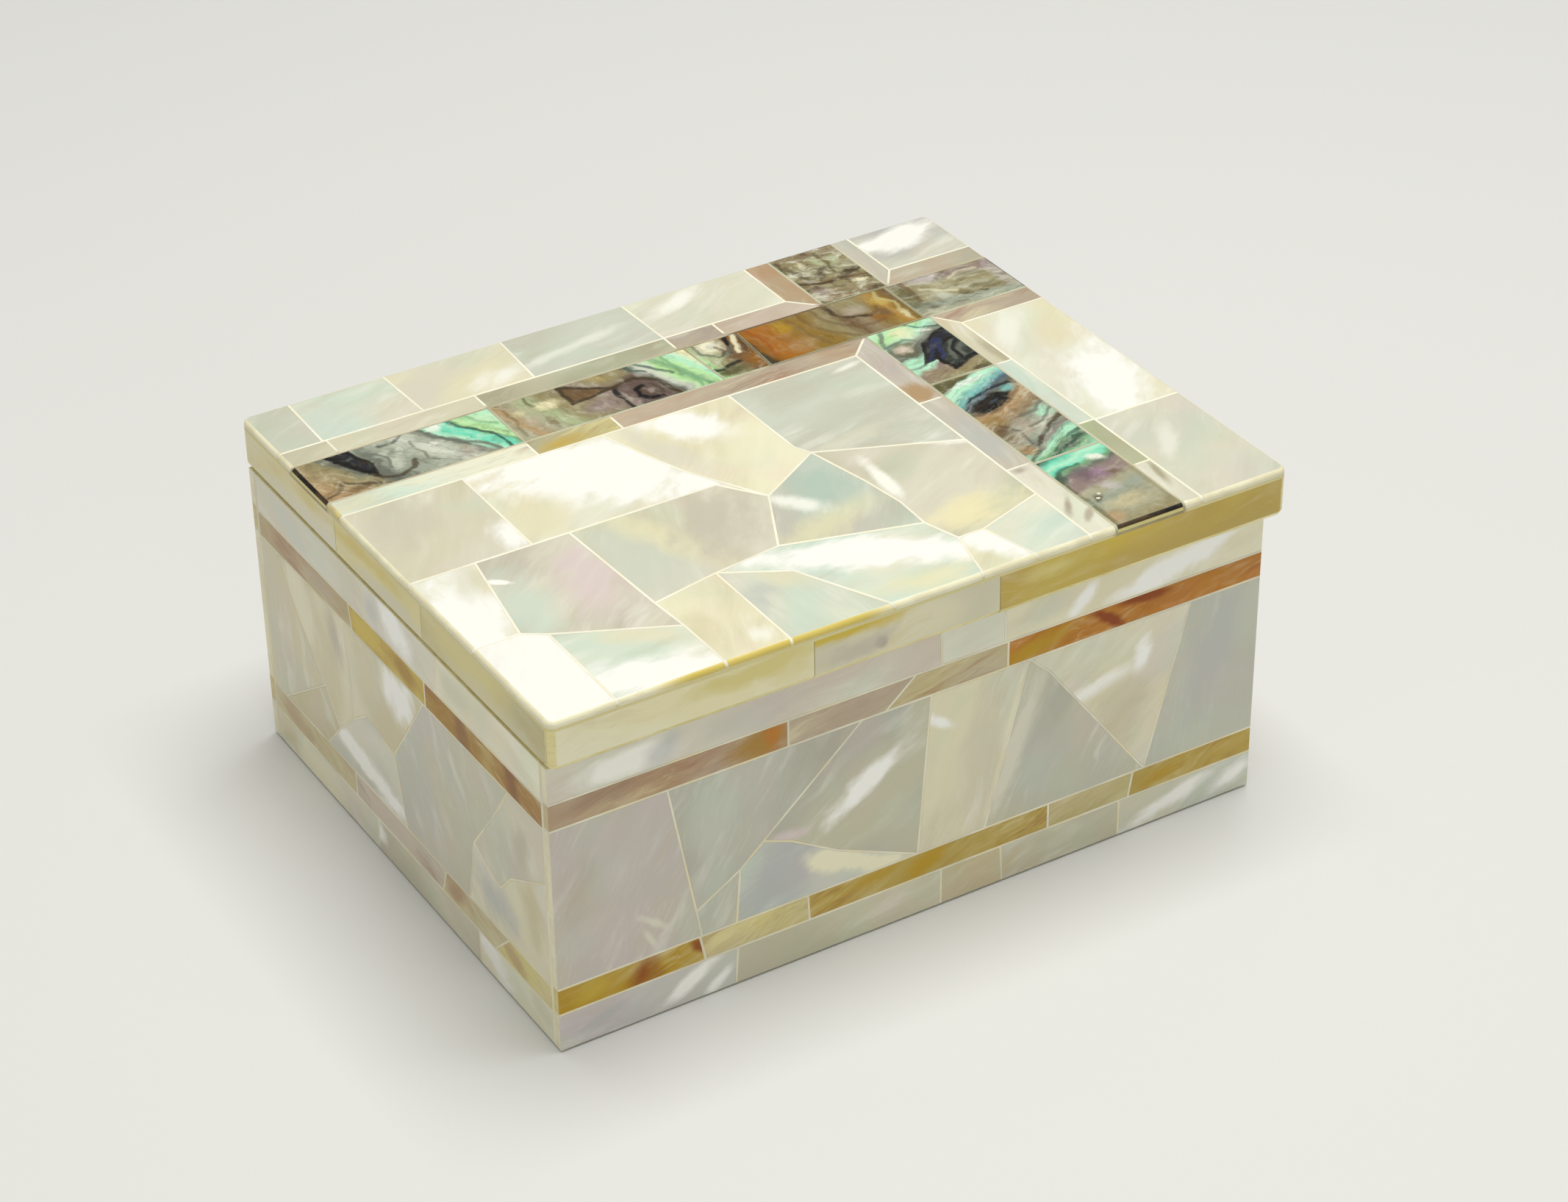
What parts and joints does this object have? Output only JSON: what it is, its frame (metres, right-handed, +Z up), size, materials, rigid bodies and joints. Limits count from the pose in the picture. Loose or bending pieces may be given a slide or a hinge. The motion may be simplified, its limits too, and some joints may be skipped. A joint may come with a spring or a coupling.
{
  "type": "jewelry box",
  "caption": "Small rectangular jewelry box with a shell mosaic skin over a wooden carcase, a velvet lining and an overhanging lid hinged at the back.",
  "frame": {"origin": "under the middle of the closed box, on the surface that it stands on", "axes": "+Z up, +X along the long side to the right, +Y towards the hinged back"},
  "size_m": [0.114, 0.0892, 0.0524],
  "materials": {
    "wood": "plain sealed hardwood",
    "pearl_shell": "polished mother-of-pearl shell, grey-green to cream with a soft sheen",
    "brown_shell": "polished brown-lip shell, amber to pinkish brown",
    "abalone": "polished abalone shell with dark lines and green flashes",
    "gold_shell": "polished golden shell edging",
    "filler": "pale cream filler, polished flush",
    "velvet": "black velvet",
    "felt": "black felt",
    "brass": "satin brass"
  },
  "bodies": {
    "case": {"back_bottom_course": "pearl_shell", "back_field": "pearl_shell", "back_filler": "filler", "back_lining": "velvet", "back_lower_strip": "brown_shell", "back_top_course": "pearl_shell", "back_upper_strip": "brown_shell", "base_felt": "felt", "carcase_back": "wood", "carcase_base": "wood", "carcase_front": "wood", "carcase_left": "wood", "carcase_right": "wood", "floor_lining": "velvet", "front_bottom_course": "pearl_shell", "front_field": "pearl_shell", "front_filler": "filler", "front_lining": "velvet", "front_lower_strip": "brown_shell", "front_top_course": "pearl_shell", "front_upper_strip": "brown_shell", "hinge_case_screws": "brass", "left_bottom_course": "pearl_shell", "left_field": "pearl_shell", "left_filler": "filler", "left_hinge_case_leaf": "brass", "left_hinge_pin": "brass", "left_lining": "velvet", "left_lower_strip": "brown_shell", "left_top_course": "pearl_shell", "left_upper_strip": "brown_shell", "right_bottom_course": "pearl_shell", "right_field": "pearl_shell", "right_filler": "filler", "right_hinge_case_leaf": "brass", "right_hinge_pin": "brass", "right_lining": "velvet", "right_lower_strip": "brown_shell", "right_top_course": "pearl_shell", "right_upper_strip": "brown_shell"},
    "lid": {"hinge_lid_screws": "brass", "left_hinge_lid_leaf": "brass", "lid_back_tiles": "pearl_shell", "lid_board": "wood", "lid_cross_abalone": "abalone", "lid_field_tiles": "pearl_shell", "lid_filler": "filler", "lid_inner_border": "brown_shell", "lid_left_border": "pearl_shell", "lid_lining": "velvet", "lid_long_abalone": "abalone", "lid_outer_border": "pearl_shell", "lid_right_border": "pearl_shell", "lid_right_tiles": "pearl_shell", "lid_rim_back": "gold_shell", "lid_rim_front": "gold_shell", "lid_rim_left": "gold_shell", "lid_rim_right": "gold_shell", "right_hinge_lid_leaf": "brass"}
  },
  "joints": [
    {"name": "lid_hinge", "type": "hinge", "parent": "case", "child": "lid", "pos_m": [0, 0.0435, 0.0451], "axis": [-1, 0, 0], "range_deg": [0, 100]}
  ]
}
